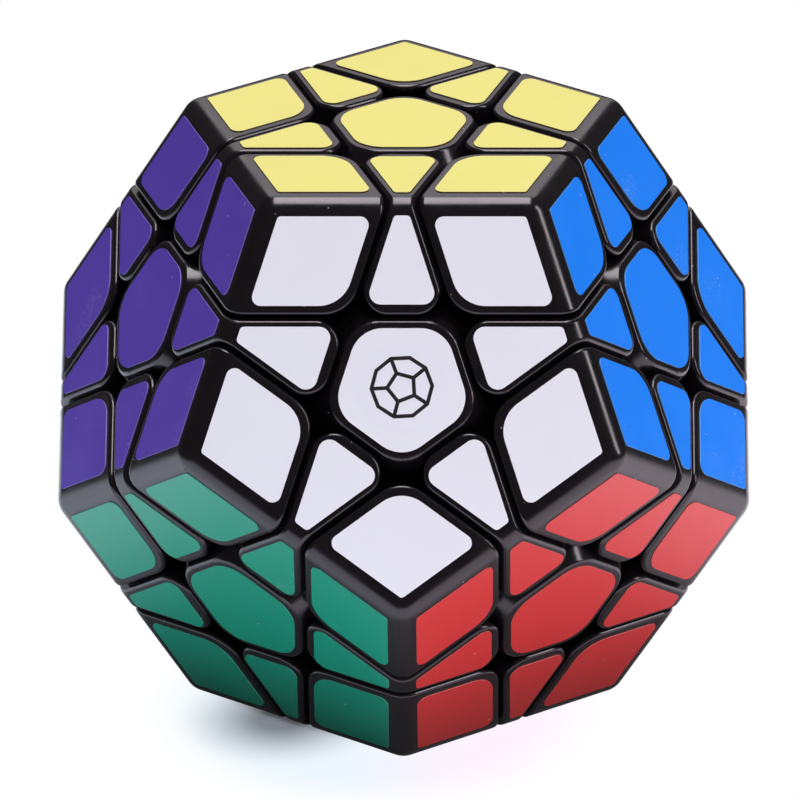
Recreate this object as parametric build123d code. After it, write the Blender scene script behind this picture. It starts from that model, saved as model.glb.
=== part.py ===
from build123d import *
from itertools import combinations
from math import acos, atan, cos, degrees, radians, sin, sqrt, tan
import os

# Dodecahedron twisty puzzle: a core, twelve sprung centres, thirty edges and twenty corners.
# Millimetres. The origin is the middle of the core, where the twelve turning axes cross.
# The puzzle stands on its -Z face; the yellow face is +Z and the white face leans towards -Y.

# Outer size
FACE_TO_FACE = 80.0
STICKER = 0.12
FACE = FACE_TO_FACE / 2 - STICKER

# Layer cuts: each is a flat outside, then a cone, a spherical step and a wider cone inside
FACE_CUT = 8.8
NECK_ANGLE = 42.0
FOOT_ANGLE = 47.0
STEP_RADIUS = 29.5
FOOT_END = 22.0
FOOT_BOTTOM = 12.0
HALF_GAP = 0.22

# Rounding
RIDGE_ROUND = 3.2
CORNER_TIP_ROUND = 5.4
EDGE_TIP_ROUND = 2.6
CENTRE_TIP_ROUND = 5.4
RIM_ROUND = 0.55

# Moulded walls, and the flats where an outer shell meets its foot
WALL = 1.4
CORNER_SPLIT = 34.65
CORNER_FLOOR = 36.85
EDGE_SPLIT = 34.2
EDGE_FLOOR = 35.7
CORNER_PEG = 1.7
EDGE_PEG = 2.4

# Centre piece, cap and its screw
CAP_THICK = 2.2
CAP_SKIN = 1.2
CAP_PLUG = 8.0
CAP_RING_WALL = 1.0
CAP_RING_DEPTH = 2.0
CUP_FLOOR = 29.6
POCKET_FLOOR = 24.4
POCKET_RADIUS = 3.5
STEM_END = 18.8
SCREW_HOLE = 1.8
SCREW_RADIUS = 1.5
SCREW_FIT = 0.02
SCREW_TIP = 10.8
TIP_CHAMFER = 0.5
HEAD_RADIUS = 3.0
HEAD_HEIGHT = 2.2
HEAD_ROUND = 0.7
RECESS_LENGTH = 3.2
RECESS_WIDTH = 0.7
RECESS_DEPTH = 1.2
WASHER_RADIUS = 3.3
WASHER_THICK = 0.6
WASHER_FIT = 0.1
SPRING_TOP = 30.4
SPRING_RADIUS = 2.4
SPRING_WIRE = 0.3
SPRING_TURNS = 5
SPRING_FIT = 0.04

# Core
BALL_RADIUS = 14.0
BALL_HOLLOW = 9.5
POST_RADIUS = 4.0
POST_START = 8.0
POST_END = 18.6
BORE_START = 5.0

# Sticker outlines, measured on the face from its middle
CENTRE_APOTHEM = 7.75
CENTRE_ROUND = 4.4
EDGE_BASE = 10.85
EDGE_TOP = 22.55
EDGE_CUT_MARGIN = 0.86
CORNER_CUT_MARGIN = 1.86
RIDGE_MARGIN = 2.3
EDGE_BASE_ROUND = 1.5
EDGE_TOP_ROUND = 0.6
CORNER_INNER_ROUND = 4.5
CORNER_SIDE_ROUND = 1.15
CORNER_OUTER_ROUND = 0.5

# Modelling aids: a size larger than the puzzle, a radius that takes in any one piece, how far
# a cutting tool runs past what it cuts, how near a plane counts as on it, and how steeply
# an outer face of a piece rises
ALL = 120.0
PIECE_REACH = 22.0
PAST = 1.0
NEAR = 1e-4
OUTER_RISE = 0.7

# Angles of a regular dodecahedron: round a face and round a corner, between face axes, and
# from a face axis to an edge and a corner
FIFTH = 72
THIRD = 120
FACE_ANGLE = degrees(atan(2))
EDGE_ANGLE = FACE_ANGLE / 2
CORNER_ANGLE = degrees(acos(sqrt((5 + 2 * sqrt(5)) / 15)))
END_ANGLE = 90 - EDGE_ANGLE
CUT = FACE_TO_FACE / 2 * cos(radians(FACE_ANGLE)) + FACE_CUT * sin(radians(FACE_ANGLE))
FACE_INRADIUS = FACE_TO_FACE / 2 * tan(radians(EDGE_ANGLE))

# Which way each face points: tilt from +Z, and bearing from -Y towards +X
FACES = {
    "yellow": (0, 0),
    "white": (FACE_ANGLE, 0),
    "blue": (FACE_ANGLE, FIFTH),
    "lime": (FACE_ANGLE, 2 * FIFTH),
    "orange": (FACE_ANGLE, 3 * FIFTH),
    "purple": (FACE_ANGLE, 4 * FIFTH),
    "red": (180 - FACE_ANGLE, FIFTH / 2),
    "pink": (180 - FACE_ANGLE, 1.5 * FIFTH),
    "grey": (180 - FACE_ANGLE, 2.5 * FIFTH),
    "sky": (180 - FACE_ANGLE, 3.5 * FIFTH),
    "green": (180 - FACE_ANGLE, 4.5 * FIFTH),
    "cream": (180, 0),
}
TURNING = {"yellow": "top", "red": "right", "sky": "left"}


def direction(tilt, bearing):
    """Unit vector at a tilt from +Z and a bearing from +X, in degrees."""
    flat = sin(radians(tilt))
    return Vector(flat * cos(radians(bearing)), flat * sin(radians(bearing)), cos(radians(tilt)))


NORMALS = {name: direction(tilt, bearing - 90) for name, (tilt, bearing) in FACES.items()}
ASKEW = Vector(1, 2, 3)  # along none of the face axes


def adjacent(first, second):
    """Whether two faces share a ridge."""
    return abs(NORMALS[first].dot(NORMALS[second]) - cos(radians(FACE_ANGLE))) < NEAR


EDGES = [pair for pair in combinations(FACES, 2) if adjacent(*pair)]
CORNERS = [
    trio for trio in combinations(FACES, 3) if all(adjacent(*pair) for pair in combinations(trio, 2))
]


def frame(axis, towards):
    """Placement whose Z is the axis and whose X leans towards a second direction."""
    sideways = towards - axis * towards.dot(axis)
    return Location(Plane(origin=(0, 0, 0), x_dir=sideways.normalized(), z_dir=axis))


def bounded(limits):
    """Convex block on the inner side of every (normal, distance) plane."""
    block = Box(ALL, ALL, ALL)
    for normal, distance in limits:
        plane = Plane(origin=normal * distance, z_dir=normal)
        block = split(block, bisect_by=plane, keep=Keep.BOTTOM)
    return block


def above(normal, distance):
    """Limit that keeps what lies further out than a distance along a normal."""
    return (normal * -1, -distance)


def layer(normal, grow):
    """Everything that turns with one face, grown outwards by a clearance or shrunk when negative."""

    def on_cone(angle, along):
        slope = radians(angle)
        return (along * sin(slope) + grow * cos(slope), along * cos(slope) - grow * sin(slope))

    neck = radians(NECK_ANGLE)
    step = STEP_RADIUS + grow
    reach = sqrt(step * step - grow * grow)
    shoulder = on_cone(NECK_ANGLE, (CUT - grow + grow * sin(neck)) / cos(neck))
    upper = on_cone(NECK_ANGLE, reach)
    lower = on_cone(FOOT_ANGLE, reach)
    middle = (upper[0] + lower[0], upper[1] + lower[1])
    scale = step / sqrt(middle[0] ** 2 + middle[1] ** 2)
    inner = on_cone(FOOT_ANGLE, FOOT_BOTTOM)

    def flat(point):
        return (point[0], 0, point[1])

    outline = Polyline(
        flat(inner), (0, 0, inner[1]), (0, 0, ALL), (ALL, 0, ALL),
        (ALL, 0, CUT - grow), flat(shoulder), flat(upper),
    )
    outline += ThreePointArc(flat(upper), flat((middle[0] * scale, middle[1] * scale)), flat(lower))
    outline += Line(flat(lower), flat(inner))
    solid = revolve(make_face(outline), axis=Axis.Z)
    return solid.moved(Location(Plane(origin=(0, 0, 0), z_dir=normal)))


def seam(body, first, second):
    """Straight edges that lie on two given planes."""
    return body.edges().filter_by(
        lambda edge: all(abs(n.dot(edge.center()) - d) < NEAR for n, d in (first, second))
    )


def round_rim(body):
    """Rounds the rim between the outer faces and the side walls."""
    outer = []
    walls = []
    for face in body.faces():
        group = outer if face.normal_at().Z > OUTER_RISE else walls
        group.extend(face.edges())
    rim = [edge for edge in outer if any(edge.is_same(wall) for wall in walls)]
    return fillet(rim, RIM_ROUND)


def rod(radius, bottom, top):
    """Upright cylinder on Z between two heights."""
    return Pos(0, 0, (bottom + top) / 2) * Cylinder(radius, top - bottom)


def corner_shell():
    """Hollow outer part of a corner, with a socket for its foot. Z is the corner's own axis."""
    normals = [direction(CORNER_ANGLE, turn) for turn in range(0, 360, THIRD)]
    outer = [(n, FACE) for n in normals]
    cuts = [above(n, CUT + HALF_GAP) for n in normals]
    body = bounded(outer + cuts)
    ridges = [edge for pair in combinations(outer, 2) for edge in seam(body, *pair)]
    body = fillet(ridges, RIDGE_ROUND)
    tips = [edge for pair in combinations(cuts, 2) for edge in seam(body, *pair)]
    body = round_rim(fillet(tips, CORNER_TIP_ROUND))
    body = split(body, bisect_by=Plane.XY.offset(CORNER_SPLIT), keep=Keep.TOP)
    cavity = bounded(
        [(n, FACE - WALL) for n in normals]
        + [above(n, CUT + HALF_GAP + WALL) for n in normals]
        + [above(Vector(0, 0, 1), CORNER_FLOOR)]
    )
    return body - cavity - rod(CORNER_PEG, CORNER_SPLIT - PAST, CORNER_FLOOR + PAST)


def corner_foot():
    """Neck and foot of a corner; the foot reaches under the three edges beside it."""
    foot = rod(PIECE_REACH, FOOT_BOTTOM, CORNER_SPLIT)
    for turn in range(0, 360, THIRD):
        foot = foot & layer(direction(CORNER_ANGLE, turn), -HALF_GAP)
    foot = foot - Sphere(FOOT_END)
    return foot + rod(CORNER_PEG, CORNER_SPLIT - WALL, CORNER_FLOOR)


def edge_sides():
    """The two face normals and the two end normals of an edge. X runs along the ridge."""
    faces = [direction(EDGE_ANGLE, turn) for turn in (90, 270)]
    ends = [direction(END_ANGLE, turn) for turn in (0, 180)]
    return faces, ends


def edge_shell():
    """Hollow outer part of an edge, with a socket for its foot. Z is the edge's own axis."""
    faces, ends = edge_sides()
    outer = [(n, FACE) for n in faces]
    cuts = [above(n, CUT + HALF_GAP) for n in faces]
    stops = [(n, CUT - HALF_GAP) for n in ends]
    body = bounded(outer + cuts + stops)
    body = fillet(seam(body, *outer), RIDGE_ROUND)
    tips = [edge for cut in cuts for stop in stops for edge in seam(body, cut, stop)]
    body = round_rim(fillet(tips, EDGE_TIP_ROUND))
    body = split(body, bisect_by=Plane.XY.offset(EDGE_SPLIT), keep=Keep.TOP)
    cavity = bounded(
        [(n, FACE - WALL) for n in faces]
        + [above(n, CUT + HALF_GAP + WALL) for n in faces]
        + [(n, CUT - HALF_GAP - WALL) for n in ends]
        + [above(Vector(0, 0, 1), EDGE_FLOOR)]
    )
    return body - cavity - rod(EDGE_PEG, EDGE_SPLIT - PAST, EDGE_FLOOR + PAST)


def edge_region(inset):
    """Space an edge's neck and foot may fill, drawn in by an inset."""
    faces, ends = edge_sides()
    region = rod(PIECE_REACH, FOOT_BOTTOM, EDGE_SPLIT)
    for normal in faces:
        region = region & layer(normal, -inset)
    for normal in ends:
        region = region - layer(normal, inset)
    return region


def edge_foot():
    """Neck and foot of an edge, hollow from below; the foot reaches under the two centres."""
    foot = edge_region(HALF_GAP) - Sphere(FOOT_END)
    pocket = edge_region(HALF_GAP + WALL) & rod(PIECE_REACH, FOOT_BOTTOM, EDGE_SPLIT - WALL)
    foot = foot - pocket
    return foot + rod(EDGE_PEG, EDGE_SPLIT - WALL, EDGE_FLOOR)


def centre_form(inset, floor, tip_round):
    """Five-sided form of a centre between a floor and the face, drawn in by an inset."""
    stops = [(direction(FACE_ANGLE, turn), CUT - inset) for turn in range(0, 360, FIFTH)]
    up = Vector(0, 0, 1)
    form = bounded(stops + [(up, FACE), above(up, floor)])
    tips = [edge for pair in combinations(stops, 2) for edge in seam(form, *pair)]
    return fillet(tips, tip_round)


def centre_block():
    """Outside of a whole centre, piece and cap together. Z is the turning axis."""
    block = round_rim(centre_form(HALF_GAP, STEM_END, CENTRE_TIP_ROUND))
    for turn in range(0, 360, FIFTH):
        block = block - layer(direction(FACE_ANGLE, turn), HALF_GAP)
    return block


def centre_cup():
    """Hollow inside the upper part of a centre piece, tapering in towards the stem."""
    slope = radians(FACE_ANGLE - NECK_ANGLE)
    margin = (HALF_GAP + WALL) / cos(slope)
    bottom = CUP_FLOOR * tan(slope) - margin
    top = FACE * tan(slope) - margin
    taper = Pos(0, 0, (CUP_FLOOR + FACE) / 2) * Cone(bottom, top, FACE - CUP_FLOOR)
    return centre_form(HALF_GAP + WALL, CUP_FLOOR, CENTRE_TIP_ROUND - WALL) & taper


def centre_piece(block):
    """Centre piece below the cap: a cup on a stem, bored for its screw and pocketed for its spring."""
    piece = split(block, bisect_by=Plane.XY.offset(FACE - CAP_THICK), keep=Keep.BOTTOM)
    piece = piece - centre_cup()
    piece = piece - rod(POCKET_RADIUS, POCKET_FLOOR, FACE)
    return piece - rod(SCREW_HOLE, STEM_END - PAST, FACE)


def centre_cap(block):
    """Snap-in cap with a ring that drops into the centre piece."""
    under = FACE - CAP_THICK
    cap = split(block, bisect_by=Plane.XY.offset(under), keep=Keep.TOP)
    inside = CAP_PLUG - CAP_RING_WALL
    ring = rod(CAP_PLUG, under - CAP_RING_DEPTH, under) - rod(inside, under - CAP_RING_DEPTH, under)
    return cap - rod(inside, under, FACE - CAP_SKIN) + ring


def core():
    """Ball with twelve posts, each bored for a screw."""
    body = Sphere(BALL_RADIUS)
    for normal in NORMALS.values():
        body = body + rod(POST_RADIUS, POST_START, POST_END).moved(frame(normal, ASKEW))
    body = body - Sphere(BALL_HOLLOW)
    bore = rod(SCREW_RADIUS + SCREW_FIT, BORE_START, POST_END + PAST)
    for normal in NORMALS.values():
        body = body - bore.moved(frame(normal, ASKEW))
    return body


def screw():
    """Tension screw with a cross recess."""
    head_base = SPRING_TOP + WASHER_THICK
    head = rod(HEAD_RADIUS, head_base, head_base + HEAD_HEIGHT)
    head = fillet(head.edges().group_by(Axis.Z)[-1], HEAD_ROUND)
    shank = rod(SCREW_RADIUS, SCREW_TIP, head_base)
    shank = chamfer(shank.edges().group_by(Axis.Z)[0], TIP_CHAMFER)
    slot = Box(RECESS_LENGTH, RECESS_WIDTH, 2 * RECESS_DEPTH)
    slot = Pos(0, 0, head_base + HEAD_HEIGHT) * slot
    return head + shank - slot - Rot(0, 0, 90) * slot


def washer():
    """Flat ring between the spring and the screw head."""
    top = SPRING_TOP + WASHER_THICK
    hole = rod(SCREW_RADIUS + WASHER_FIT, SPRING_TOP - PAST, top + PAST)
    return rod(WASHER_RADIUS, SPRING_TOP, top) - hole


def spring():
    """Round-wire compression spring between the pocket floor and the washer."""
    margin = SPRING_WIRE + SPRING_FIT
    height = SPRING_TOP - POCKET_FLOOR - 2 * margin
    path = Helix(height / SPRING_TURNS, height, SPRING_RADIUS)
    wire = sweep(Plane(path @ 0, z_dir=path % 0) * Circle(SPRING_WIRE), path, is_frenet=True)
    return Pos(0, 0, POCKET_FLOOR + margin) * wire


def centre_sticker():
    """Rounded pentagon, its sides parallel to the ridges."""
    half = FIFTH / 2
    radius = CENTRE_APOTHEM / cos(radians(half))
    return fillet(RegularPolygon(radius, 5, rotation=half).vertices(), CENTRE_ROUND)


def edge_sticker():
    """Tapered outline whose wide end faces the middle of the face. X points at the ridge."""

    def half_width(out):
        return (FACE_CUT - EDGE_CUT_MARGIN - out * cos(radians(FIFTH))) / sin(radians(FIFTH))

    base = half_width(EDGE_BASE)
    top = half_width(EDGE_TOP)
    corners = [(EDGE_BASE, -base), (EDGE_TOP, -top), (EDGE_TOP, top), (EDGE_BASE, base)]
    shape = make_face(Polyline(*corners, close=True))
    shape = fillet(shape.vertices().group_by(Axis.X)[0], EDGE_BASE_ROUND)
    return fillet(shape.vertices().group_by(Axis.X)[-1], EDGE_TOP_ROUND)


def corner_sticker():
    """Rhombus with a well rounded inner tip. X points at the corner of the face."""
    half = radians(FIFTH / 2)
    near = (FACE_CUT + CORNER_CUT_MARGIN) / cos(half)
    far = (FACE_INRADIUS - RIDGE_MARGIN) / cos(half)
    middle = (near + far) / 2
    side = (far - near) / 2 / tan(half)
    shape = make_face(Polyline((near, 0), (middle, -side), (far, 0), (middle, side), close=True))
    shape = fillet(shape.vertices().group_by(Axis.X)[-1], CORNER_OUTER_ROUND)
    shape = fillet(shape.vertices().group_by(Axis.X)[0], CORNER_INNER_ROUND)
    across = shape.vertices().sort_by(Axis.Y)
    return fillet([across[0], across[-1]], CORNER_SIDE_ROUND)


def stuck_on(outline):
    """Sticker of a given outline, lying on the face plane."""
    return Pos(0, 0, FACE) * extrude(outline, STICKER)


def owner(faces):
    """Name of the layer a piece turns with, or the fixed frame."""
    turning = [TURNING[name] for name in faces if name in TURNING]
    return turning[0] if turning else "body"


def placed(shape, places):
    """Copies of one shape at every place."""
    return [solid.moved(place) for place in places for solid in shape.solids()]


def edge_place(pair):
    """Where an edge sits, its X along the ridge."""
    first, second = (NORMALS[name] for name in pair)
    return frame((first + second).normalized(), first.cross(second))


def corner_place(trio):
    """Where a corner sits, its X towards its first face."""
    first, second, third = (NORMALS[name] for name in trio)
    return frame((first + second + third).normalized(), first)


def add_pieces(nodes):
    """Edges and corners, sorted by the layer they turn with."""
    shapes = {
        "edge_shells": (edge_shell(), EDGES, edge_place),
        "edge_feet": (edge_foot(), EDGES, edge_place),
        "corner_shells": (corner_shell(), CORNERS, corner_place),
        "corner_feet": (corner_foot(), CORNERS, corner_place),
    }
    for kind, (shape, pieces, place) in shapes.items():
        for piece in pieces:
            nodes.setdefault(f"{owner(piece)}_{kind}", []).extend(placed(shape, [place(piece)]))


def add_centres(nodes):
    """Centre pieces and caps, each turning centre on its own."""
    block = centre_block()
    piece = centre_piece(block)
    cap = centre_cap(block)
    for name, normal in NORMALS.items():
        neighbour = next(other for other in FACES if adjacent(name, other))
        place = frame(normal, NORMALS[neighbour])
        prefix = f"{TURNING[name]}_centre" if name in TURNING else "fixed_centre"
        nodes.setdefault(f"{prefix}_piece", []).extend(placed(piece, [place]))
        nodes.setdefault(f"{prefix}_cap", []).extend(placed(cap, [place]))


def add_stickers(nodes):
    """Every sticker, sorted by what it turns with and by colour."""
    centre = stuck_on(centre_sticker())
    edge = stuck_on(edge_sticker())
    corner = stuck_on(corner_sticker())
    for name, normal in NORMALS.items():
        neighbour = next(other for other in FACES if adjacent(name, other))
        key = f"{TURNING[name]}_centre_sticker" if name in TURNING else f"body_stickers_{name}"
        nodes.setdefault(key, []).extend(placed(centre, [frame(normal, NORMALS[neighbour])]))
        for pieces, shape in ((EDGES, edge), (CORNERS, corner)):
            for piece in pieces:
                if name not in piece:
                    continue
                towards = sum((NORMALS[other] for other in piece), Vector(0, 0, 0))
                key = f"{owner(piece)}_stickers_{name}"
                nodes.setdefault(key, []).extend(placed(shape, [frame(normal, towards)]))


def add_hardware(nodes):
    """Core, screws, washers and springs."""
    places = {name: frame(normal, ASKEW) for name, normal in NORMALS.items()}
    nodes["core"] = placed(core(), [Location()])
    nodes["tension_screws"] = placed(screw(), places.values())
    nodes["spring_washers"] = placed(washer(), places.values())
    coil = spring()
    live = [place for name, place in places.items() if name in TURNING]
    still = [place for name, place in places.items() if name not in TURNING]
    nodes["live_springs"] = placed(coil, live)
    nodes["fixed_springs"] = placed(coil, still)


def main():
    """Builds every node and writes one STEP file for each."""
    nodes = {}
    add_hardware(nodes)
    add_centres(nodes)
    add_pieces(nodes)
    add_stickers(nodes)
    os.makedirs("parts", exist_ok=True)
    for name, solids in nodes.items():
        shape = solids[0] if len(solids) == 1 else Compound(children=solids)
        export_step(shape, f"parts/{name}.step")
    print(len(nodes), "nodes")


main()
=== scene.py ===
"""Looks of a stickered dodecahedron twisty puzzle: moulded pieces, stickers, hardware and studio."""

import logging
import math
from dataclasses import dataclass, field
from enum import Enum

import bmesh
import bpy
from mathutils import Matrix, Vector

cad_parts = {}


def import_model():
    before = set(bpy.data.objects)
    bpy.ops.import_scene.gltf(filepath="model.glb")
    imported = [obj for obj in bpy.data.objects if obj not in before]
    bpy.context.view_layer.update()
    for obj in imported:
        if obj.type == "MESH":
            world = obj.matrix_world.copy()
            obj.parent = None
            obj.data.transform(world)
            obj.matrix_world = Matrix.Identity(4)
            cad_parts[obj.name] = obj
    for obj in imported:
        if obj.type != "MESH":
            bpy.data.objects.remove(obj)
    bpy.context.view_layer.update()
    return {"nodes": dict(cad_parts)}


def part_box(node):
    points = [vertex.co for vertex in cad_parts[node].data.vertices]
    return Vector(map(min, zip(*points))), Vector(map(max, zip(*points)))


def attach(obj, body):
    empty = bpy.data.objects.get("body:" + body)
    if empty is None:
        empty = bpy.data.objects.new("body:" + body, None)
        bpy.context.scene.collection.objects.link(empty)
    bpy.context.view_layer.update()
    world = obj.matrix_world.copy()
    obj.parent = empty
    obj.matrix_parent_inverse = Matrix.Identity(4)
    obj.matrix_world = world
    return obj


log = logging.getLogger("puzzle")

FACE_TILT = math.atan(2)
MM = 0.001
NOISE_SPAN = (0.3, 0.7)  # where most values of a noise pattern lie

Colour = tuple[float, float, float]
Point = tuple[float, float, float]
Span = tuple[float, float]


def srgb(red: int, green: int, blue: int) -> Colour:
    """Turns a display colour into the linear values that a shader takes.

    Args:
        red: red, 0 to 255.
        green: green, 0 to 255.
        blue: blue, 0 to 255.

    Returns:
        The same colour, linear, 0 to 1.
    """
    shares = (channel / 255 for channel in (red, green, blue))
    linear = [s / 12.92 if s <= 0.04045 else ((s + 0.055) / 1.055) ** 2.4 for s in shares]
    return (linear[0], linear[1], linear[2])


class Face(Enum):
    """The twelve faces by colour, with the tilt from +Z and the bearing from -Y of each."""

    YELLOW = (0.0, 0.0)
    WHITE = (FACE_TILT, 0.0)
    BLUE = (FACE_TILT, 72.0)
    LIME = (FACE_TILT, 144.0)
    ORANGE = (FACE_TILT, 216.0)
    PURPLE = (FACE_TILT, 288.0)
    RED = (math.pi - FACE_TILT, 36.0)
    PINK = (math.pi - FACE_TILT, 108.0)
    GREY = (math.pi - FACE_TILT, 180.0)
    SKY = (math.pi - FACE_TILT, 252.0)
    GREEN = (math.pi - FACE_TILT, 324.0)
    CREAM = (math.pi, 0.0)

    @property
    def axis(self) -> Vector:
        """Unit vector that this face points along."""
        tilt, bearing = self.value[0], math.radians(self.value[1] - 90)
        return Vector((
            math.sin(tilt) * math.cos(bearing), math.sin(tilt) * math.sin(bearing), math.cos(tilt)
        ))


@dataclass
class Tree:
    """A node tree, with short ways to add and join nodes."""

    tree: bpy.types.NodeTree

    def add(self, kind: str, settings: dict | None = None, **inputs: object) -> bpy.types.Node:
        """Adds a node.

        Args:
            kind: the node's type, without its ShaderNode prefix.
            settings: properties of the node itself.
            **inputs: values or sockets for its inputs, underscores standing for spaces.

        Returns:
            The new node.
        """
        node = self.tree.nodes.new(f"ShaderNode{kind}")
        for name, value in (settings or {}).items():
            setattr(node, name, value)
        for name, value in inputs.items():
            self.feed(node.inputs[name.replace("_", " ")], value)
        return node

    def feed(self, socket: bpy.types.NodeSocket, value: object) -> None:
        """Links a socket into an input, or sets the input's own value."""
        if isinstance(value, bpy.types.NodeSocket):
            self.tree.links.new(value, socket)
        else:
            socket.default_value = value

    def maths(self, operation: str, first: object, second: object = 0.0) -> bpy.types.NodeSocket:
        """Adds a Math node and returns its result."""
        node = self.add("Math", {"operation": operation})
        self.feed(node.inputs[0], first)
        self.feed(node.inputs[1], second)
        return node.outputs[0]

    def remap(
        self, value: object, low: float, high: float, to_low: float = 0.0, to_high: float = 1.0
    ) -> bpy.types.NodeSocket:
        """Adds a smooth, clamped Map Range node.

        Args:
            value: the value or socket to remap.
            low: value that gives to_low.
            high: value that gives to_high.
            to_low: result at and below low.
            to_high: result at and above high.

        Returns:
            The node's result.
        """
        node = self.add("MapRange", {"interpolation_type": "SMOOTHSTEP"})
        names = ("Value", "From Min", "From Max", "To Min", "To Max")
        for name, given in zip(names, (value, low, high, to_low, to_high)):
            self.feed(node.inputs[name], given)
        return node.outputs["Result"]

    def vector(self, operation: str, *given: object) -> bpy.types.Node:
        """Adds a Vector Math node, feeds its inputs in order and returns the node."""
        node = self.add("VectorMath", {"operation": operation})
        for index, value in enumerate(given):
            self.feed(node.inputs[index], value)
        return node

    def blend(self, share: object, first: object, second: object) -> bpy.types.NodeSocket:
        """Mixes two colours by a share and returns the result."""
        node = self.add("Mix", {"data_type": "RGBA"})
        for index, given in ((0, share), (6, first), (7, second)):
            self.feed(node.inputs[index], given)
        return node.outputs[2]

    def place(self, name: str, **inputs: object) -> bpy.types.Node:
        """Places a shared node group by name and feeds its inputs."""
        node = self.add("Group", {"node_tree": bpy.data.node_groups[name]})
        for socket, value in inputs.items():
            self.feed(node.inputs[socket.replace("_", " ")], value)
        return node


def opened(colour: Colour) -> tuple[float, float, float, float]:
    """A colour with full alpha."""
    return (*colour, 1.0)


def spread(middle: float, span: Span) -> Span:
    """The two ends of a span that lies round a middle value."""
    return (middle + span[0], middle + span[1])


@dataclass(frozen=True)
class SharedEffects:
    """Node groups that more than one finish uses."""

    mottle_share: float = 0.045
    warp_scale: float = 2200.0
    warp_depth: float = 0.25 * MM
    patch_scale: float = 90.0
    patch_level: float = 0.72
    patch_reach: float = 0.3
    patch_gain: float = 12.0
    streak_axis: Point = (0.3, 0.5, 0.8)
    streak_turns: tuple[float, ...] = (0.6, 2.1)
    streak_narrow: float = 34.0
    streak_span: Span = (0.70, 0.76)

    @staticmethod
    def group(
        name: str, inputs: dict[str, float], outputs: tuple[str, ...]
    ) -> tuple[Tree, dict, bpy.types.Node]:
        """Starts a group of values over a Vector input.

        Args:
            name: the group's name.
            inputs: number inputs and their defaults, after Vector.
            outputs: names of the number outputs.

        Returns:
            The tree, the input sockets by name, and the output node.
        """
        tree = bpy.data.node_groups.new(name, "ShaderNodeTree")
        tree.interface.new_socket("Vector", in_out="INPUT", socket_type="NodeSocketVector")
        for title, value in inputs.items():
            socket = tree.interface.new_socket(title, in_out="INPUT", socket_type="NodeSocketFloat")
            socket.default_value = value
        for title in outputs:
            tree.interface.new_socket(title, in_out="OUTPUT", socket_type="NodeSocketFloat")
        entry = tree.nodes.new("NodeGroupInput")
        result = tree.nodes.new("NodeGroupOutput")
        return Tree(tree), {socket.name: socket for socket in entry.outputs}, result

    def grain(self) -> None:
        """Fine surface grain over a slow mottle, both about 0.5 on average."""
        tree, given, result = self.group("moulded grain", {"Scale": 4000.0}, ("Height", "Mottle"))
        fine = tree.add("TexNoise", Vector=given["Vector"], Scale=given["Scale"], Detail=3.0)
        broad = tree.maths("MULTIPLY", given["Scale"], self.mottle_share)
        slow = tree.add("TexNoise", Vector=given["Vector"], Scale=broad, Detail=4.0)
        tree.feed(result.inputs["Height"], fine.outputs[0])
        tree.feed(result.inputs["Mottle"], slow.outputs[0])

    def specks(self) -> None:
        """Scattered dust: a small dot in some of the cells of a lattice that is slightly warped."""
        inputs = {"Scale": 260.0, "Size": 0.05, "Share": 0.2}
        tree, given, result = self.group("dust specks", inputs, ("Mask",))
        warp = tree.add("TexNoise", Vector=given["Vector"], Scale=self.warp_scale)
        bent = tree.vector("MULTIPLY_ADD", warp.outputs[1], (self.warp_depth,) * 3, given["Vector"])
        cells = tree.add("TexVoronoi", Vector=bent.outputs[0], Scale=given["Scale"])
        dot = tree.maths("LESS_THAN", cells.outputs["Distance"], given["Size"])
        chance = tree.add("SeparateColor", Color=cells.outputs["Color"])
        kept = tree.maths("LESS_THAN", chance.outputs[0], given["Share"])
        tree.feed(result.inputs["Mask"], tree.maths("MULTIPLY", dot, kept))

    def scratches(self) -> None:
        """Short hairline scuffs in two directions, gathered in patches with soft ends."""
        tree, given, result = self.group("hairline scuffs", {"Scale": 240.0, "Share": 0.3}, ("Mask",))
        patches = tree.add("TexNoise", Vector=given["Vector"], Scale=self.patch_scale, Detail=1.0)
        reach = tree.maths("MULTIPLY", given["Share"], self.patch_reach)
        low = tree.maths("SUBTRACT", self.patch_level, reach)
        patch = tree.maths("MULTIPLY", tree.maths("SUBTRACT", patches.outputs[0], low), self.patch_gain)
        patch = tree.maths("MINIMUM", tree.maths("MAXIMUM", patch, 0.0), 1.0)
        lines = 0.0
        for turn in self.streak_turns:
            swung = tree.add("VectorRotate", {"rotation_type": "AXIS_ANGLE"}, Vector=given["Vector"],
                             Axis=self.streak_axis, Angle=turn)
            drawn = tree.vector("MULTIPLY", swung.outputs[0], (1.0, self.streak_narrow, self.streak_narrow))
            streak = tree.add("TexNoise", Vector=drawn.outputs[0], Scale=given["Scale"], Detail=0.0)
            lines = tree.maths("MAXIMUM", lines, tree.remap(streak.outputs[0], *self.streak_span))
        tree.feed(result.inputs["Mask"], tree.maths("MULTIPLY", lines, patch))

    def build(self) -> None:
        """Builds every shared group."""
        self.grain()
        self.specks()
        self.scratches()


def fresh_material(name: str) -> tuple[bpy.types.Material, Tree, bpy.types.Node]:
    """Starts a material with one Principled shader.

    Args:
        name: the material's name.

    Returns:
        The material, its tree and the shader node.
    """
    material = bpy.data.materials.new(name)
    material.use_nodes = True
    material.node_tree.nodes.clear()
    tree = Tree(material.node_tree)
    shader = tree.add("BsdfPrincipled")
    output = tree.add("OutputMaterial")
    tree.feed(output.inputs["Surface"], shader.outputs[0])
    return material, tree, shader


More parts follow.
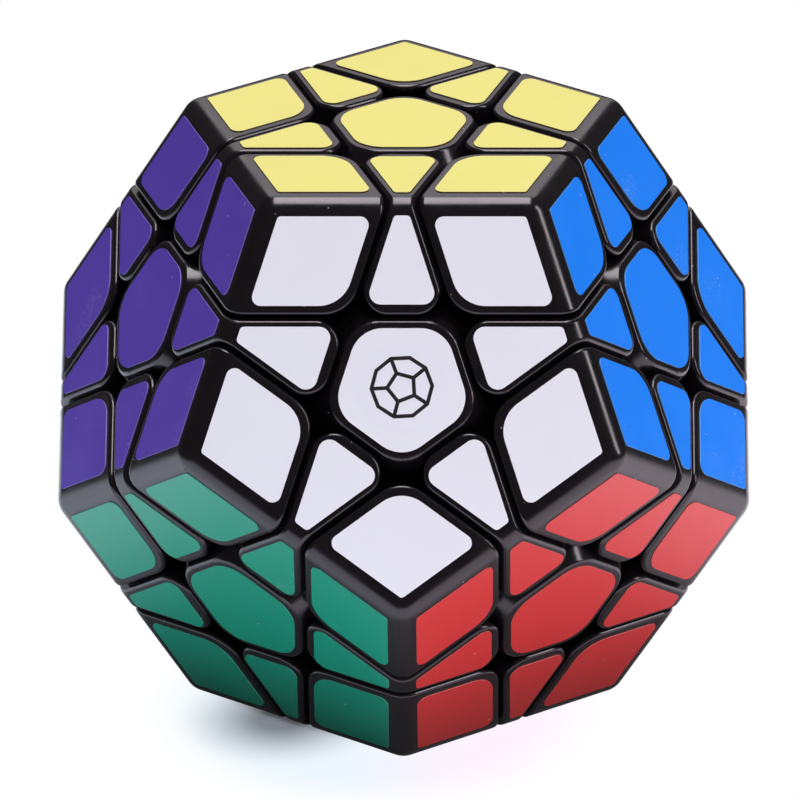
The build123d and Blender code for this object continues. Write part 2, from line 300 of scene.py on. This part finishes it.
@dataclass(frozen=True)
class MouldedPlastic:
    """Injection-moulded black plastic with a fine grain and a little dust."""

    colour: Colour
    roughness: float
    ior: float = 1.56
    grain_height: float = 0.0012 * MM
    dust: float = 0.16
    dust_colour: Colour = srgb(216, 208, 196)
    dust_cover: float = 0.6
    dust_roughness: float = 0.8
    sheen_tint: Colour = (1.0, 0.9, 0.97)
    grain_scale: float = 5200.0
    speck_scale: float = 620.0
    speck_size: float = 0.055
    mottle_gain: float = 1.5
    polish_span: Span = (-0.04, 0.05)

    def material(self, name: str) -> bpy.types.Material:
        """Builds this finish as a material."""
        material, tree, shader = fresh_material(name)
        where = tree.add("TexCoord").outputs["Object"]
        grain = tree.place("moulded grain", Vector=where, Scale=self.grain_scale)
        specks = tree.place("dust specks", Vector=where, Scale=self.speck_scale, Size=self.speck_size,
                            Share=self.dust)
        lighter = tuple(channel * self.mottle_gain for channel in self.colour)
        base = tree.blend(grain.outputs["Mottle"], opened(self.colour), opened(lighter))
        covered = tree.maths("MULTIPLY", specks.outputs["Mask"], self.dust_cover)
        tree.feed(shader.inputs["Base Color"], tree.blend(covered, base, opened(self.dust_colour)))
        polish = tree.remap(grain.outputs["Mottle"], *NOISE_SPAN, *spread(self.roughness, self.polish_span))
        dusty = tree.maths("MULTIPLY", specks.outputs["Mask"], self.dust_roughness)
        tree.feed(shader.inputs["Roughness"], tree.maths("MAXIMUM", polish, dusty))
        shader.inputs["IOR"].default_value = self.ior
        shader.inputs["Specular Tint"].default_value = opened(self.sheen_tint)
        bump = tree.add("Bump", Height=grain.outputs["Height"], Distance=self.grain_height, Strength=1.0)
        tree.feed(shader.inputs["Normal"], bump.outputs[0])
        return material


@dataclass(frozen=True)
class Vinyl:
    """Printed vinyl sticker with a slightly uneven film, light scuffs and a coloured cut rim: a darker cut
    edge on some sheets, a painted highlight on the rest.
    """

    colour: Colour
    # Colour of the cut rim: a real darker edge where it is darker than the sticker, a painted highlight where
    # it is lighter.
    edge: Colour
    scuffs: float = 0.05
    dust: float = 0.1
    roughness: float = 0.22
    ior: float = 1.5
    ripple_height: float = 0.0016 * MM
    ripple_scale: float = 2600.0
    fine_share: float = 0.12
    scuff_scale: float = 240.0
    scuff_cover: float = 0.22
    speck_scale: float = 520.0
    speck_size: float = 0.06
    speck_cover: float = 0.5
    mark_colour: Colour = srgb(238, 236, 240)
    pale_gain: float = 1.04
    pale_lift: float = 0.004
    edge_span: Span = (0.78, 0.99)
    polish_span: Span = (-0.03, 0.04)

    @property
    def paler(self) -> Colour:
        """The film's colour where its ink lies thinnest."""
        red, green, blue = (
            min(1.0, channel * self.pale_gain + self.pale_lift) for channel in self.colour
        )
        return (red, green, blue)

    def material(self, name: str, axis: Point) -> bpy.types.Material:
        """Builds this finish as a material.

        Args:
            name: the material's name.
            axis: direction that the sticker faces, in its own coordinates.

        Returns:
            The new material.
        """
        material, tree, shader = fresh_material(name)
        coordinates = tree.add("TexCoord")
        where = coordinates.outputs["Object"]
        grain = tree.place("moulded grain", Vector=where, Scale=self.ripple_scale)
        scuffs = tree.place("hairline scuffs", Vector=where, Scale=self.scuff_scale, Share=self.scuffs)
        specks = tree.place("dust specks", Vector=where, Scale=self.speck_scale, Size=self.speck_size,
                            Share=self.dust)
        facing = tree.vector("DOT_PRODUCT", coordinates.outputs["Normal"], axis)
        # The rim, which faces away from the sticker's axis, takes the rim colour: a painted highlight where
        # that colour is lighter than the sticker.
        cut = tree.remap(facing.outputs["Value"], *self.edge_span, 1.0, 0.0)
        base = tree.blend(grain.outputs["Mottle"], opened(self.colour), opened(self.paler))
        with_rim_tone_and_highlight = tree.blend(cut, base, opened(self.edge))
        scuffed = tree.maths("MULTIPLY", scuffs.outputs["Mask"], self.scuff_cover)
        dusty = tree.maths("MULTIPLY", specks.outputs["Mask"], self.speck_cover)
        marks = tree.maths("MAXIMUM", scuffed, dusty)
        tree.feed(shader.inputs["Base Color"], tree.blend(marks, with_rim_tone_and_highlight, opened(self.mark_colour)))
        polish = tree.remap(grain.outputs["Mottle"], *NOISE_SPAN, *spread(self.roughness, self.polish_span))
        tree.feed(shader.inputs["Roughness"], polish)
        shader.inputs["IOR"].default_value = self.ior
        fine = tree.maths("MULTIPLY", grain.outputs["Height"], self.fine_share)
        height = tree.maths("ADD", grain.outputs["Mottle"], fine)
        bump = tree.add("Bump", Height=height, Distance=self.ripple_height, Strength=1.0)
        tree.feed(shader.inputs["Normal"], bump.outputs[0])
        return material


@dataclass(frozen=True)
class BareMetal:
    """Plated or drawn steel with fine drawing marks."""

    colour: Colour
    roughness: float
    grain_scale: float = 7000.0
    mark_depth: float = 0.001 * MM
    darkening: float = 0.8
    polish_span: Span = (-0.08, 0.1)

    def material(self, name: str) -> bpy.types.Material:
        """Builds this finish as a material."""
        material, tree, shader = fresh_material(name)
        where = tree.add("TexCoord").outputs["Object"]
        grain = tree.place("moulded grain", Vector=where, Scale=self.grain_scale)
        darker = tuple(channel * self.darkening for channel in self.colour)
        base = tree.blend(grain.outputs["Mottle"], opened(self.colour), opened(darker))
        tree.feed(shader.inputs["Base Color"], base)
        polish = tree.remap(grain.outputs["Height"], *NOISE_SPAN, *spread(self.roughness, self.polish_span))
        tree.feed(shader.inputs["Roughness"], polish)
        shader.inputs["Metallic"].default_value = 1.0
        bump = tree.add("Bump", Height=grain.outputs["Height"], Distance=self.mark_depth, Strength=1.0)
        tree.feed(shader.inputs["Normal"], bump.outputs[0])
        return material


def dress(node: bpy.types.Object, material: bpy.types.Material) -> None:
    """Gives every material slot of an object one material."""
    if not node.material_slots:
        node.data.materials.append(material)
    for slot in node.material_slots:
        slot.material = material


@dataclass
class MouldedPieces:
    """Black shells, caps and inner parts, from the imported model."""

    nodes: dict[str, bpy.types.Object]
    shell: MouldedPlastic = MouldedPlastic(colour=(0.0054, 0.0040, 0.0054), roughness=0.2)
    inner: MouldedPlastic = MouldedPlastic(colour=(0.0046, 0.0038, 0.0046), roughness=0.36, dust=0.3)
    core: MouldedPlastic = MouldedPlastic(colour=(0.012, 0.012, 0.013), roughness=0.38)

    def build(self) -> None:
        """Dresses each moulded node."""
        shell = self.shell.material("black shell plastic")
        inner = self.inner.material("black inner plastic")
        core = self.core.material("black core plastic")
        for name, node in self.nodes.items():
            if name == "core":
                dress(node, core)
            elif name.endswith(("_shells", "_cap")):
                dress(node, shell)
            elif name.endswith(("_feet", "_piece")):
                dress(node, inner)
            else:
                continue
            log.info("moulded: %s", name)


@dataclass
class Hardware:
    """Screws, washers and springs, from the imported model."""

    nodes: dict[str, bpy.types.Object]
    plated: BareMetal = BareMetal(colour=srgb(190, 190, 192), roughness=0.28)
    wire: BareMetal = BareMetal(colour=srgb(150, 150, 154), roughness=0.36)

    def build(self) -> None:
        """Dresses each metal node."""
        plated = self.plated.material("zinc plate")
        wire = self.wire.material("spring wire")
        for name, node in self.nodes.items():
            if name in ("tension_screws", "spring_washers"):
                dress(node, plated)
            elif name.endswith("_springs"):
                dress(node, wire)
            else:
                continue
            log.info("hardware: %s", name)


@dataclass
class Stickers:
    """The vinyl stickers of each face, one finish to a colour."""

    nodes: dict[str, bpy.types.Object]
    rim: float = 0.1 * MM
    rim_segments: int = 2
    rim_angle: float = math.radians(60)
    centres: dict[str, Face] = field(default_factory=lambda: {
        "top_centre_sticker": Face.YELLOW,
        "right_centre_sticker": Face.RED,
        "left_centre_sticker": Face.SKY,
    })
    # Rim colours: yellow and cream have darker cut edges; on every other sheet the lighter rim is a painted
    # highlight.
    sheets: dict[Face, Vinyl] = field(default_factory=lambda: {
        Face.YELLOW: Vinyl(colour=srgb(218, 209, 104), edge=srgb(84, 58, 20)),
        Face.WHITE: Vinyl(colour=srgb(240, 238, 248), edge=srgb(250, 246, 252)),
        Face.BLUE: Vinyl(colour=srgb(28, 129, 246), edge=srgb(110, 178, 255), scuffs=0.34, dust=0.3),
        Face.LIME: Vinyl(colour=srgb(122, 204, 66), edge=srgb(150, 220, 100)),
        Face.ORANGE: Vinyl(colour=srgb(248, 132, 34), edge=srgb(255, 160, 80)),
        Face.PURPLE: Vinyl(colour=srgb(97, 70, 187), edge=srgb(150, 130, 226), scuffs=0.42, dust=0.55),
        Face.RED: Vinyl(colour=srgb(212, 50, 50), edge=srgb(236, 110, 104)),
        Face.PINK: Vinyl(colour=srgb(242, 118, 172), edge=srgb(250, 160, 198)),
        Face.GREY: Vinyl(colour=srgb(146, 149, 154), edge=srgb(172, 174, 178)),
        Face.SKY: Vinyl(colour=srgb(104, 192, 240), edge=srgb(150, 212, 250)),
        Face.GREEN: Vinyl(colour=srgb(0, 154, 123), edge=srgb(96, 190, 168)),
        Face.CREAM: Vinyl(colour=srgb(246, 232, 184), edge=srgb(206, 186, 130)),
    })

    def face_of(self, name: str) -> Face | None:
        """The face whose colour a node has, or None if it is no sticker."""
        if name in self.centres:
            return self.centres[name]
        return Face[name.rsplit("_", 1)[1].upper()] if "_stickers_" in name else None

    def round_rim(self, node: bpy.types.Object) -> None:
        """Softens the cut edge of every sticker in a node."""
        bevel = node.modifiers.new("cut edge", "BEVEL")
        bevel.width = self.rim
        bevel.segments = self.rim_segments
        bevel.limit_method = "ANGLE"
        bevel.angle_limit = self.rim_angle
        bevel.harden_normals = True

    def build(self) -> None:
        """Dresses each sticker node in its face's colour."""
        finishes = {
            face: sheet.material(f"{face.name.lower()} vinyl", tuple(face.axis))
            for face, sheet in self.sheets.items()
        }
        for name, node in self.nodes.items():
            face = self.face_of(name)
            if face is None:
                continue
            dress(node, finishes[face])
            self.round_rim(node)
            log.info("sticker: %s in %s", name, face.name.lower())


@dataclass
class CentreMark:
    """Clear round label on the white centre, printed with a plain outline drawing of the solid."""

    plane: float
    face: Face = Face.WHITE
    label_radius: float = 6.05 * MM
    label_sides: int = 96
    label_thick: float = 0.015 * MM
    ink_thick: float = 0.006 * MM
    spoke_drop: float = 0.0006 * MM
    ring_radius: float = 4.0 * MM
    core_radius: float = 1.95 * MM
    core_sides: int = 5
    line: float = 0.5 * MM
    turn: float = math.radians(21)
    film: Vinyl = Vinyl(colour=srgb(239, 237, 248), edge=srgb(196, 193, 203), ripple_height=0.0005 * MM)
    ink: MouldedPlastic = MouldedPlastic(colour=(0.012, 0.010, 0.012), roughness=0.4, dust=0.0)

    def frame(self) -> Matrix:
        """Placement of the label: Z out of the face, Y up the face."""
        out = self.face.axis
        up = (Vector((0, 0, 1)) - out * out.z).normalized()
        across = up.cross(out)
        rows = Matrix((across, up, out)).transposed().to_4x4()
        return Matrix.Translation(out * self.plane) @ rows

    @staticmethod
    def corner_key(point: Vector) -> tuple[float, float]:
        """A point of an outline in millimetres, rounded so that shared corners are found."""
        return (round(point.x / MM, 6), round(point.y / MM, 6))

    def slab(self, mesh: bmesh.types.BMesh, outlines: list[list[Vector]], low: float, high: float) -> None:
        """Adds closed flat pieces between two heights over the face.

        Args:
            mesh: the mesh that they are added to.
            outlines: outlines in the label's own plane; those that share corners are joined.
            low: height of the underside over the sticker.
            high: height of the top over the sticker.
        """
        corners = {}
        for outline in outlines:
            for point in outline:
                key = self.corner_key(point)
                if key not in corners:
                    corners[key] = [mesh.verts.new((point.x, point.y, level)) for level in (low, high)]
        sides = []
        for outline in outlines:
            loop = [self.corner_key(point) for point in outline]
            mesh.faces.new([corners[key][1] for key in loop])
            mesh.faces.new([corners[key][0] for key in reversed(loop)])
            sides += [(loop[index - 1], key) for index, key in enumerate(loop)]
        for first, second in sides:
            if (second, first) not in sides:
                mesh.faces.new((corners[first][0], corners[second][0], corners[second][1], corners[first][1]))

    def piece(self, name: str, mesh: bmesh.types.BMesh) -> bpy.types.Object:
        """Turns a mesh into a named object, in place and riding on the body."""
        data = bpy.data.meshes.new(name)
        mesh.to_mesh(data)
        mesh.free()
        piece = bpy.data.objects.new(name, data)
        bpy.context.scene.collection.objects.link(piece)
        piece.matrix_world = self.frame()
        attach(piece, "body")
        return piece

    def spoke(self, radius: float, step: int, count: int) -> Vector:
        """A point on a circle round the middle of the label."""
        angle = self.turn + math.pi / 2 + (step % count) * math.tau / count
        return Vector((radius * math.cos(angle), radius * math.sin(angle)))

    def ring(self, radius: float, count: int) -> list[list[Vector]]:
        """Straight lines with mitred corners round a regular outline."""
        half = self.line / 2 / math.cos(math.pi / count)
        inside, outside = radius - half, radius + half
        return [
            [self.spoke(inside, step, count), self.spoke(outside, step, count),
             self.spoke(outside, step + 1, count), self.spoke(inside, step + 1, count)]
            for step in range(count)
        ]

    def bar(self, start: Vector, end: Vector) -> list[Vector]:
        """Outline of a straight line between two points."""
        side = (end - start).normalized().orthogonal() * self.line / 2
        return [start - side, end - side, end + side, start + side]

    def build(self) -> None:
        """Builds the label and its print."""
        label = bmesh.new()
        sides = self.label_sides
        outline = [self.spoke(self.label_radius, step, sides) for step in range(sides)]
        self.slab(label, [outline], 0.0, self.label_thick)
        film = self.piece("white_centre_label", label)
        dress(film, self.film.material("clear label film", (0.0, 0.0, 1.0)))
        printed = bmesh.new()
        sunk = self.label_thick / 2
        top = self.label_thick + self.ink_thick
        sides = self.core_sides
        rings = self.ring(self.core_radius, sides) + self.ring(self.ring_radius, 2 * sides)
        self.slab(printed, rings, sunk, top)
        spokes = [
            self.bar(self.spoke(self.core_radius, step, sides), self.spoke(self.ring_radius, step, sides))
            for step in range(sides)
        ]
        self.slab(printed, spokes, sunk, top - self.spoke_drop)
        drawing = self.piece("white_centre_print", printed)
        dress(drawing, self.ink.material("label ink"))
        log.info("centre mark: label and print")


@dataclass(frozen=True)
class Panel:
    """Rectangular light of an even radiance, aimed at the puzzle.

    Directions are a bearing from -Y towards +X and a height over the horizon, in degrees.
    """

    name: str
    bearing: float
    height: float
    distance: float
    size: tuple[float, float]
    radiance: float
    tint: Colour = (1.0, 1.0, 1.0)
    mirrored: bool = True

    def build(self) -> None:
        """Adds the light to the scene."""
        data = bpy.data.lights.new(self.name, "AREA")
        data.shape = "RECTANGLE"
        data.size, data.size_y = self.size
        data.energy = self.radiance * math.pi * self.size[0] * self.size[1]
        data.color = self.tint
        turn, rise = math.radians(self.bearing - 90), math.radians(self.height)
        away = Vector((math.cos(turn) * math.cos(rise), math.sin(turn) * math.cos(rise), math.sin(rise)))
        light = bpy.data.objects.new(self.name, data)
        light.location = away * self.distance
        light.rotation_euler = away.to_track_quat("Z", "Y").to_euler()
        light.visible_camera = False
        light.visible_glossy = self.mirrored
        bpy.context.scene.collection.objects.link(light)
        log.info("light: %s", self.name)


@dataclass
class Studio:
    """White floor that fades into a white surround, lit by an overhead softbox and side panels.

    The camera sees pale paper with a soft shadow, kept only in a patch at the front left, lifted by a
    painted glow and ringed by a painted bounce tint, teal on the left and pink on the right. Reflections
    and bounced light find a painted shadow, darker paper, close to the puzzle, further out a painted glow
    that is cool on the left and warm on the right, and far out a painted falloff, dark paper.
    Each span is where a change starts and ends, in metres from a middle on the floor.
    """

    floor_level: float
    floor_size: float = 12.0
    grain_scale: float = 900.0
    roughness: float = 0.9
    open_paper: tuple[Colour, Colour] = ((0.90, 0.90, 0.905), (0.92, 0.92, 0.925))
    # Painted shadow: darker paper close to the puzzle, for reflections and bounced light only.
    near_shadow_paper: Colour = (0.30, 0.31, 0.32)
    # Painted falloff: dark paper far from the puzzle, for reflections and bounced light only.
    far_falloff_paper: Colour = (0.10, 0.10, 0.10)
    # Paper that the camera sees, its blue a painted tint of the shadow.
    shadow_paper: Colour = (0.80, 0.86, 0.99)
    puzzle_middle: Point = (0.0, 0.0, 0.0)
    near_span: Span = (0.036, 0.080)
    far_span: Span = (0.12, 0.34)
    # The seen shadow is kept only in this patch at the front left; outside it the camera sees painted white
    # glow.
    fade_middle: Point = (-0.017, -0.018, 0.0)
    shadow_patch_span: Span = (0.0, 0.0148)
    # Painted glow that lifts the darkest seen shadow.
    shadow_lift: float = 0.08
    # Painted bounce tint on the floor the camera sees round the base: teal on the left, pink on the right.
    tint_middle: Point = (-0.004, -0.014, 0.0)
    bounce_tint_span: Span = (0.020, 0.032)
    seen_bounce_tints: tuple[Colour, Colour] = ((0.84, 0.93, 1.0), (1.0, 0.89, 0.995))
    seen_reach: float = 0.012
    # Painted glow on the floor in a ring round the puzzle, for reflections and bounced light: cool on the
    # left, warm on the right.
    painted_glow_sides: tuple[Colour, Colour] = ((0.62, 0.84, 1.08), (0.92, 0.76, 0.96))
    glow_reach: float = 0.08
    painted_glow: float = 0.75
    surround_colour: Colour = (0.98, 0.98, 1.0)
    surround_dim: float = 0.07
    panels: tuple[Panel, ...] = (
        Panel("overhead_softbox", 180, 79.5, 1.0, (0.42, 0.68), 7.6),
        Panel("back_paper_low", 180, 21, 1.2, (1.0, 0.4), 0.8, (1.0, 0.92, 0.97)),
        Panel("back_paper_high", 180, 43, 1.2, (0.9, 0.56), 1.5),
        Panel("right_strip", 73, 30, 1.1, (0.22, 0.9), 7.0),
        Panel("front_fill", 12, 44, 1.2, (0.6, 0.5), 4.95, (0.98, 0.97, 1.0), mirrored=False),
    )

    def floor(self) -> None:
        """Large pale floor at the level that the puzzle stands on."""
        mesh = bmesh.new()
        half = self.floor_size / 2
        corners = [mesh.verts.new((x * half, y * half, 0)) for x, y in ((-1, -1), (1, -1), (1, 1), (-1, 1))]
        mesh.faces.new(corners)
        data = bpy.data.meshes.new("studio_floor")
        mesh.to_mesh(data)
        mesh.free()
        floor = bpy.data.objects.new("studio_floor", data)
        floor.location = (0, 0, self.floor_level)
        bpy.context.scene.collection.objects.link(floor)
        dress(floor, self.floor_material())

    @staticmethod
    def past(tree: Tree, where: bpy.types.NodeSocket, middle: Point, span: Span) -> bpy.types.NodeSocket:
        """How far through a span of distances from a middle a point lies, 0 to 1."""
        return tree.remap(tree.vector("DISTANCE", where, middle).outputs["Value"], *span)

    @staticmethod
    def sides(
        tree: Tree, where: bpy.types.NodeSocket, colours: tuple[Colour, Colour], reach: float
    ) -> bpy.types.NodeSocket:
        """A colour for the left and one for the right, blended across the middle."""
        across = tree.add("SeparateXYZ", Vector=where).outputs["X"]
        left, right = colours
        return tree.blend(tree.remap(across, -reach, reach), opened(left), opened(right))

    def paper(
        self, tree: Tree, where: bpy.types.NodeSocket, direct: bpy.types.NodeSocket,
        near: bpy.types.NodeSocket, far: bpy.types.NodeSocket,
    ) -> bpy.types.NodeSocket:
        """Colour of the floor's paper.

        Args:
            tree: the floor material's tree.
            where: position on the floor.
            direct: 1 for camera rays, 0 for all others.
            near: 0 close to the puzzle, 1 past it.
            far: 0 round the puzzle, 1 far from it.

        Returns:
            The colour: pale for the camera, its blue a painted tint of the shadow; for other rays,
            darker close to the puzzle as a painted shadow and dark far from it as painted falloff.
        """
        grain = tree.place("moulded grain", Vector=where, Scale=self.grain_scale)
        dark, light = self.open_paper
        mottled = tree.blend(grain.outputs["Mottle"], opened(dark), opened(light))
        # Painted shadow close to the puzzle and painted falloff far out, for other rays; the camera gets the
        # blue-tinted shadow paper.
        shaded = tree.blend(near, opened(self.near_shadow_paper), mottled)
        return tree.blend(far, tree.blend(direct, shaded, opened(self.shadow_paper)), opened(self.far_falloff_paper))

    def floor_material(self) -> bpy.types.Material:
        """Paper whose light, as the camera sees it, fades to plain white away from the puzzle, with a painted
        glow in a ring round it for reflections and bounced light.
        """
        material, tree, shader = fresh_material("studio floor")
        where = tree.add("TexCoord").outputs["Object"]
        direct = tree.add("LightPath").outputs["Is Camera Ray"]
        near = self.past(tree, where, self.puzzle_middle, self.near_span)
        far = self.past(tree, where, self.puzzle_middle, self.far_span)
        # For camera rays the lit paper gives way to painted white glow outside the shadow patch.
        fade = self.past(tree, where, self.fade_middle, self.shadow_patch_span)
        hidden = tree.maths("MULTIPLY", fade, direct)
        paper = self.paper(tree, where, direct, near, far)
        tree.feed(shader.inputs["Base Color"], tree.blend(hidden, paper, opened((0.0, 0.0, 0.0))))
        shader.inputs["Roughness"].default_value = self.roughness
        shader.inputs["Specular IOR Level"].default_value = 0.0
        # Painted glow colour for reflections and bounced light: cool on the left, warm on the right.
        painted_glow_tint = self.sides(tree, where, self.painted_glow_sides, self.glow_reach)
        # Painted bounce tint round the base, as the camera sees it; plain white further out.
        seen_bounce_tint = self.sides(tree, where, self.seen_bounce_tints, self.seen_reach)
        clear = self.past(tree, where, self.tint_middle, self.bounce_tint_span)
        pale = tree.blend(clear, seen_bounce_tint, opened((1.0, 1.0, 1.0)))
        tree.feed(shader.inputs["Emission Color"], tree.blend(direct, painted_glow_tint, pale))
        # Painted glow that the camera sees: white outside the shadow patch, a small lift inside it.
        seen = tree.maths("MULTIPLY", tree.maths("MAXIMUM", fade, self.shadow_lift), direct)
        # Painted glow in a ring round the puzzle, between the near and far spans.
        band = tree.maths("MULTIPLY", near, tree.maths("SUBTRACT", 1.0, far))
        lit = tree.maths("MULTIPLY", band, self.painted_glow)
        tree.feed(shader.inputs["Emission Strength"], tree.maths("MAXIMUM", seen, lit))
        return material

    def surround(self) -> None:
        """Dim room in reflections, plain white where the camera sees past the floor."""
        world = bpy.data.worlds.new("studio surround")
        world.use_nodes = True
        bpy.context.scene.world = world
        world.node_tree.nodes.clear()
        tree = Tree(world.node_tree)
        level = tree.add("Mix", {"data_type": "FLOAT"})
        tree.feed(level.inputs[0], tree.add("LightPath").outputs["Is Camera Ray"])
        level.inputs[2].default_value = self.surround_dim
        level.inputs[3].default_value = 1.0
        back = tree.add("Background", Color=opened(self.surround_colour), Strength=level.outputs[0])
        output = tree.add("OutputWorld")
        tree.feed(output.inputs["Surface"], back.outputs[0])

    def build(self) -> None:
        """Builds the floor, lights and surround."""
        self.floor()
        for panel in self.panels:
            panel.build()
        self.surround()
        bpy.context.scene.view_settings.view_transform = "Standard"
        log.info("studio built")


@dataclass
class ViewCamera:
    """Long lens a little to the right of the puzzle's front, looking down on it."""

    bearing: float = math.radians(0.495)
    height: float = math.radians(25.02)
    distance: float = 1.458
    lens: float = 486.5
    sensor: float = 36.0
    clip_end: float = 60.0
    roll: float = math.radians(-0.187)
    shift: tuple[float, float] = (-0.00525, -0.0057)

    def build(self) -> None:
        """Places the camera and makes it the scene's own."""
        data = bpy.data.cameras.new("view")
        data.lens = self.lens
        data.sensor_width = self.sensor
        data.shift_x, data.shift_y = self.shift
        data.clip_end = self.clip_end
        camera = bpy.data.objects.new("view", data)
        flat = math.cos(self.height)
        away = Vector((
            math.sin(self.bearing) * flat, -math.cos(self.bearing) * flat, math.sin(self.height)
        ))
        turned = away.to_track_quat("Z", "Y").to_matrix().to_4x4() @ Matrix.Rotation(self.roll, 4, "Z")
        camera.matrix_world = Matrix.Translation(away * self.distance) @ turned
        bpy.context.scene.collection.objects.link(camera)
        bpy.context.scene.camera = camera


def main() -> None:
    """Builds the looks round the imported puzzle."""
    logging.basicConfig(level=logging.INFO)
    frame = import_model()
    nodes = frame["nodes"]
    # The stickers of all twelve faces lie this far from the middle; the puzzle stands on one of them.
    plane = -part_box("body_stickers_cream")[0].z
    SharedEffects().build()
    MouldedPieces(nodes).build()
    Hardware(nodes).build()
    Stickers(nodes).build()
    CentreMark(plane).build()
    Studio(floor_level=-plane).build()
    ViewCamera().build()


if __name__ == "__main__":
    main()
